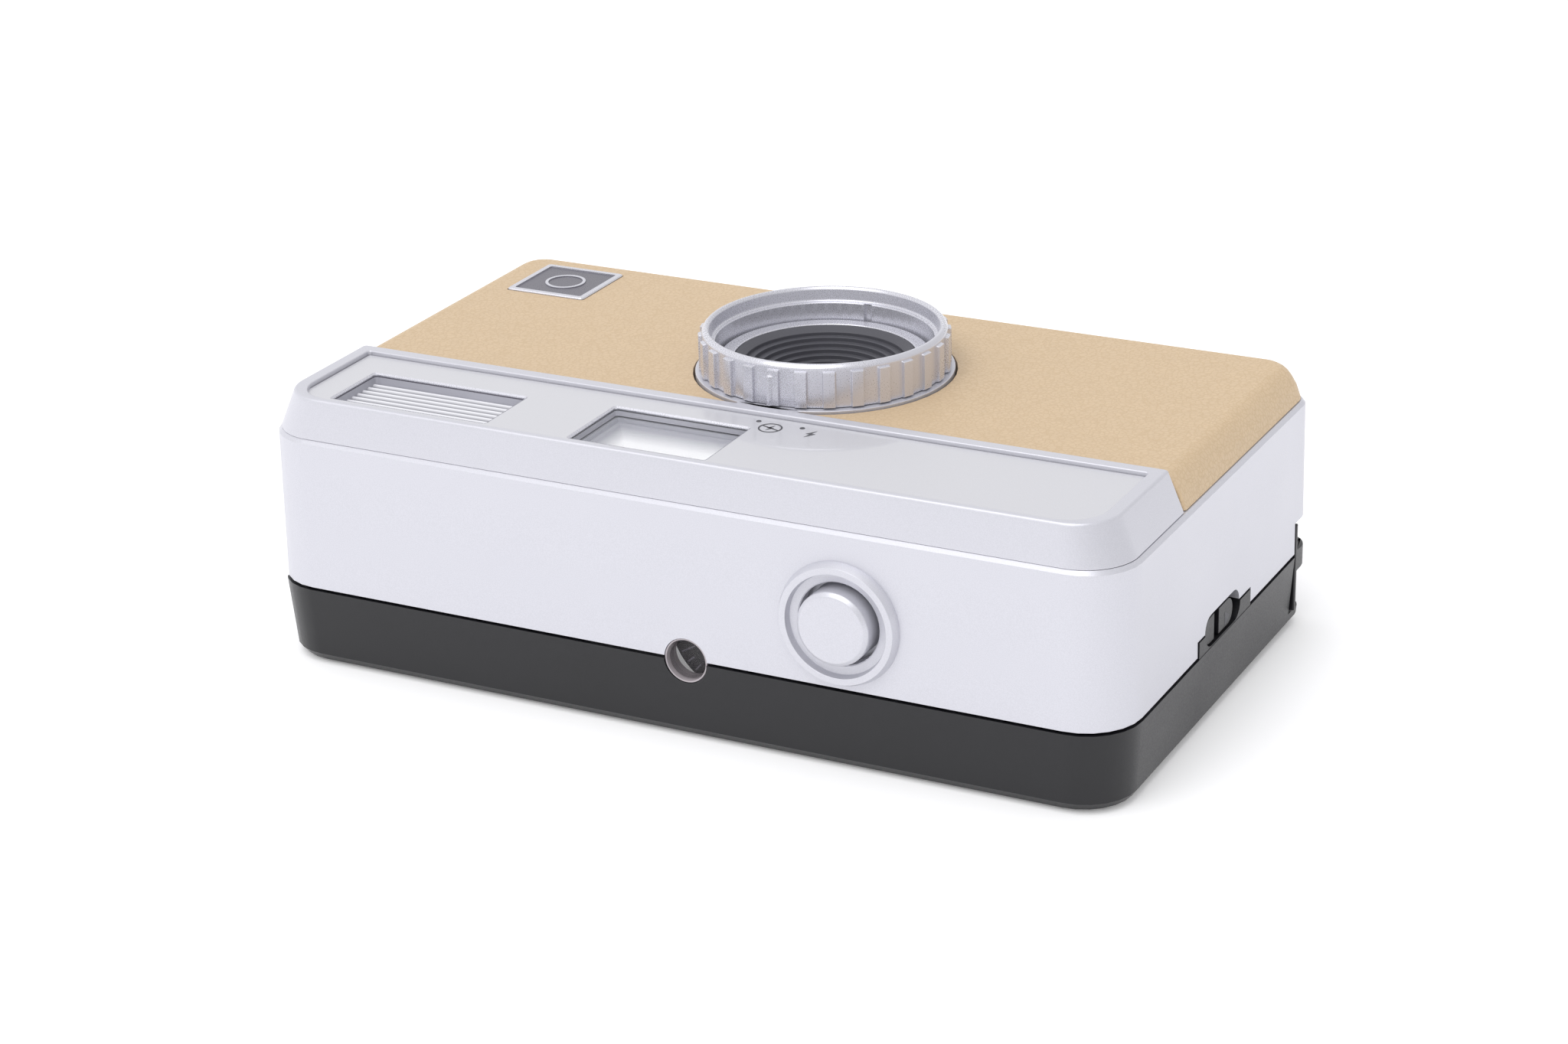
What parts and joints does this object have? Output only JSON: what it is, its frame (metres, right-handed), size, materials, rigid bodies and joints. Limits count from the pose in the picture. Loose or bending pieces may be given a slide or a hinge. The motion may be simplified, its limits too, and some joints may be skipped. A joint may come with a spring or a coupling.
{
  "type": "half frame camera",
  "caption": "Compact half frame 35 mm film camera lying on its back, with a turning flash ring, shutter button, film transport, rewind crank, battery cover and latched back door.",
  "frame": {"origin": "middle of the back door's outer face, which the camera lies on", "axes": "+X to the viewer's right hand (the shutter button's half), +Y to the camera's underside, +Z along the lens axis, out of the front"},
  "size_m": [0.11, 0.0639, 0.0386],
  "materials": {
    "silver_case": "satin silver paint over moulded plastic, very fine metallic grain",
    "silver_trim": "bright satin silver",
    "window_surround": "silver under a clear gloss coat",
    "badge_plate": "grey field in a bright silver frame",
    "tan_leatherette": "fine pebbled grain, low sheen",
    "black_plastic": "smooth satin black, fine spark texture",
    "grey_plastic": "smooth",
    "white_plastic": "smooth",
    "clear_plastic": "clear polished plastic",
    "optical_glass": "polished and coated",
    "reflector": "polished",
    "steel": "bright zinc plate",
    "battery_wrap": "plain metallic sleeve",
    "circuit_board": "green lacquer",
    "capacitor_can": "black plastic sleeve"
  },
  "bodies": {
    "camera_body": {"front_shell": "silver_case", "top_bezel": "silver_case", "leather_panel": "tan_leatherette", "badge": "badge_plate", "strap_bar": "black_plastic", "hinge_pin": "steel", "window_inlay": "window_surround", "flash_lens": "clear_plastic", "flash_reflector": "reflector", "flash_tube": "clear_plastic", "finder_window": "clear_plastic", "finder_tunnel": "grey_plastic", "finder_eyepiece": "clear_plastic", "lens_bezel": "silver_trim", "lens_cone": "black_plastic", "front_lens": "optical_glass", "rear_lens": "optical_glass", "shutter_plate": "black_plastic", "button_spring": "steel", "counter_window": "clear_plastic", "film_chassis": "black_plastic", "chassis_screw_1": "steel", "chassis_screw_2": "steel", "chassis_screw_3": "steel", "chassis_screw_4": "steel", "battery_cell": "battery_wrap", "battery_contact_top": "steel", "flash_board": "circuit_board", "flash_capacitor": "capacitor_can"},
    "flash_ring": {"flash_ring": "silver_trim"},
    "shutter_button": {"shutter_button": "silver_trim"},
    "shutter_blade": {"shutter_blade": "black_plastic"},
    "thumb_wheel": {"thumb_wheel": "black_plastic"},
    "take_up_spool": {"take_up_spool": "black_plastic"},
    "sprocket": {"sprocket_shaft": "white_plastic"},
    "counter": {"counter_disc": "white_plastic"},
    "rewind_crank": {"rewind_crank": "black_plastic"},
    "crank_handle": {"crank_handle": "black_plastic", "crank_knob": "black_plastic"},
    "rewind_release": {"rewind_button": "black_plastic"},
    "battery_cover": {"battery_cover": "silver_case", "battery_contact_cover": "steel"},
    "back_door": {"back_door": "black_plastic", "pressure_plate": "black_plastic", "pressure_spring": "steel"},
    "door_latch": {"latch_slider": "black_plastic"}
  },
  "joints": [
    {"name": "flash_ring_turn", "type": "hinge", "parent": "camera_body", "child": "flash_ring", "pos_m": [0.0024, 0.0056, 0.035], "axis": [0, 0, 1], "range_deg": [0, 16]},
    {"name": "shutter_press", "type": "slide", "parent": "camera_body", "child": "shutter_button", "axis": [0, 1, 0], "range_m": [0, 0.0011], "stiffness_N_per_m": 1500, "springref_m": -0.0005},
    {"name": "blade_swing", "type": "hinge", "parent": "camera_body", "child": "shutter_blade", "pos_m": [-0.0036, 0.0006, 0.0241], "axis": [0, 0, 1], "range_deg": [0, 46]},
    {"name": "wheel_turn", "type": "hinge", "parent": "camera_body", "child": "thumb_wheel", "pos_m": [0.038, -0.023, 0.012], "axis": [0, 1, 0], "continuous": true},
    {"name": "spool_turn", "type": "hinge", "parent": "camera_body", "child": "take_up_spool", "pos_m": [0.038, 0.005, 0.012], "axis": [0, 1, 0], "continuous": true},
    {"name": "sprocket_turn", "type": "hinge", "parent": "camera_body", "child": "sprocket", "pos_m": [0.022, 0.005, 0.0114], "axis": [0, 1, 0], "continuous": true},
    {"name": "counter_turn", "type": "hinge", "parent": "camera_body", "child": "counter", "pos_m": [0.007, -0.028, 0.0135], "axis": [0, 1, 0], "continuous": true},
    {"name": "rewind_turn", "type": "hinge", "parent": "camera_body", "child": "rewind_crank", "pos_m": [-0.0372, 0.029, 0.0149], "axis": [0, 1, 0], "continuous": true},
    {"name": "handle_fold", "type": "hinge", "parent": "rewind_crank", "child": "crank_handle", "pos_m": [-0.03128, 0.0305, 0.0149], "axis": [0, 0, -1], "range_deg": [0, 120]},
    {"name": "release_press", "type": "slide", "parent": "camera_body", "child": "rewind_release", "axis": [0, -1, 0], "range_m": [0, 0.001], "stiffness_N_per_m": 500, "springref_m": -0.0005},
    {"name": "battery_cover_open", "type": "hinge", "parent": "camera_body", "child": "battery_cover", "pos_m": [-0.0237, 0.02995, 0.0218], "axis": [0, 0, 1], "range_deg": [0, 95]},
    {"name": "door_open", "type": "hinge", "parent": "camera_body", "child": "back_door", "pos_m": [-0.0535, 0.002, 0.0084], "axis": [0, 1, 0], "range_deg": [0, 95]},
    {"name": "latch_slide", "type": "slide", "parent": "back_door", "child": "door_latch", "axis": [0, 1, 0], "range_m": [0, 0.0015]}
  ],
  "couplings": [
    {"joint": "blade_swing", "follows": "shutter_press", "rad_per_m": 714},
    {"joint": "spool_turn", "follows": "wheel_turn", "ratio": 1},
    {"joint": "sprocket_turn", "follows": "wheel_turn", "ratio": 1.07},
    {"joint": "counter_turn", "follows": "wheel_turn", "ratio": 0.027}
  ]
}
